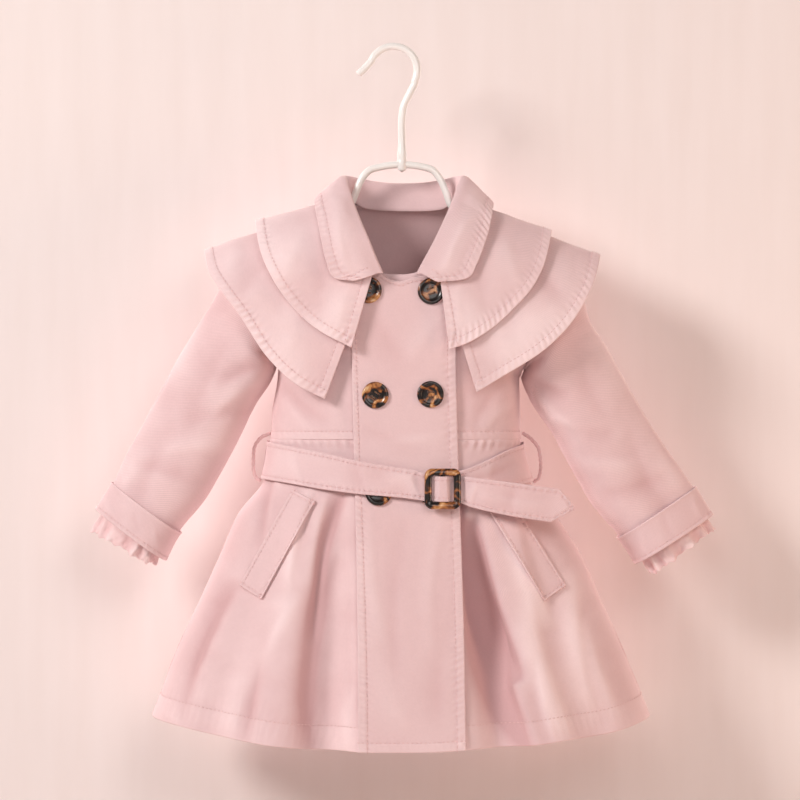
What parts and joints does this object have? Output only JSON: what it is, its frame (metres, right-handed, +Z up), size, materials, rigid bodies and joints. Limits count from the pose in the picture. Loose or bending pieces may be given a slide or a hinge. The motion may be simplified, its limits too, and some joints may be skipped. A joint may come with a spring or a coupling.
{
  "type": "child's belted windbreaker coat on a wire hanger",
  "caption": "pale pink cotton coat for a small child with round collar, shoulder capes, belt and flared skirt, on a white coated wire hanger",
  "frame": {"origin": "inside top of the hanger's hook, where it rests on a rail", "axes": "+X to the right of the front view, +Y from the front to the back, +Z up"},
  "size_m": [0.4989, 0.1539, 0.5572],
  "materials": {
    "pink_twill": "matte cotton twill",
    "pale_frill": "thin crinkled cotton",
    "tortoiseshell": "gloss, mottled amber and dark brown",
    "white_coating": "gloss white coating on wire"
  },
  "bodies": {
    "root": {"bodice_left_front": "pink_twill", "bodice_right_front": "pink_twill", "bodice_back": "pink_twill", "overlap_panel": "pink_twill", "underlap_panel": "pink_twill", "skirt_left_front": "pink_twill", "skirt_left_back": "pink_twill", "skirt_right_front": "pink_twill", "skirt_right_back": "pink_twill", "lower_cape": "pink_twill", "upper_cape": "pink_twill", "collar": "pink_twill", "sleeve_left": "pink_twill", "cuff_left": "pink_twill", "sleeve_right": "pink_twill", "cuff_right": "pink_twill", "belt_strap": "pink_twill", "belt_right": "pink_twill", "belt_back": "pink_twill", "pocket_left": "pink_twill", "pocket_right": "pink_twill", "loop_left": "pink_twill", "loop_right": "pink_twill", "frill_left": "pale_frill", "frill_right": "pale_frill", "buckle": "tortoiseshell", "button_1": "tortoiseshell", "button_2": "tortoiseshell", "button_3": "tortoiseshell", "button_4": "tortoiseshell", "button_5": "tortoiseshell", "button_6": "tortoiseshell", "hanger": "white_coating"}
  },
  "joints": []
}
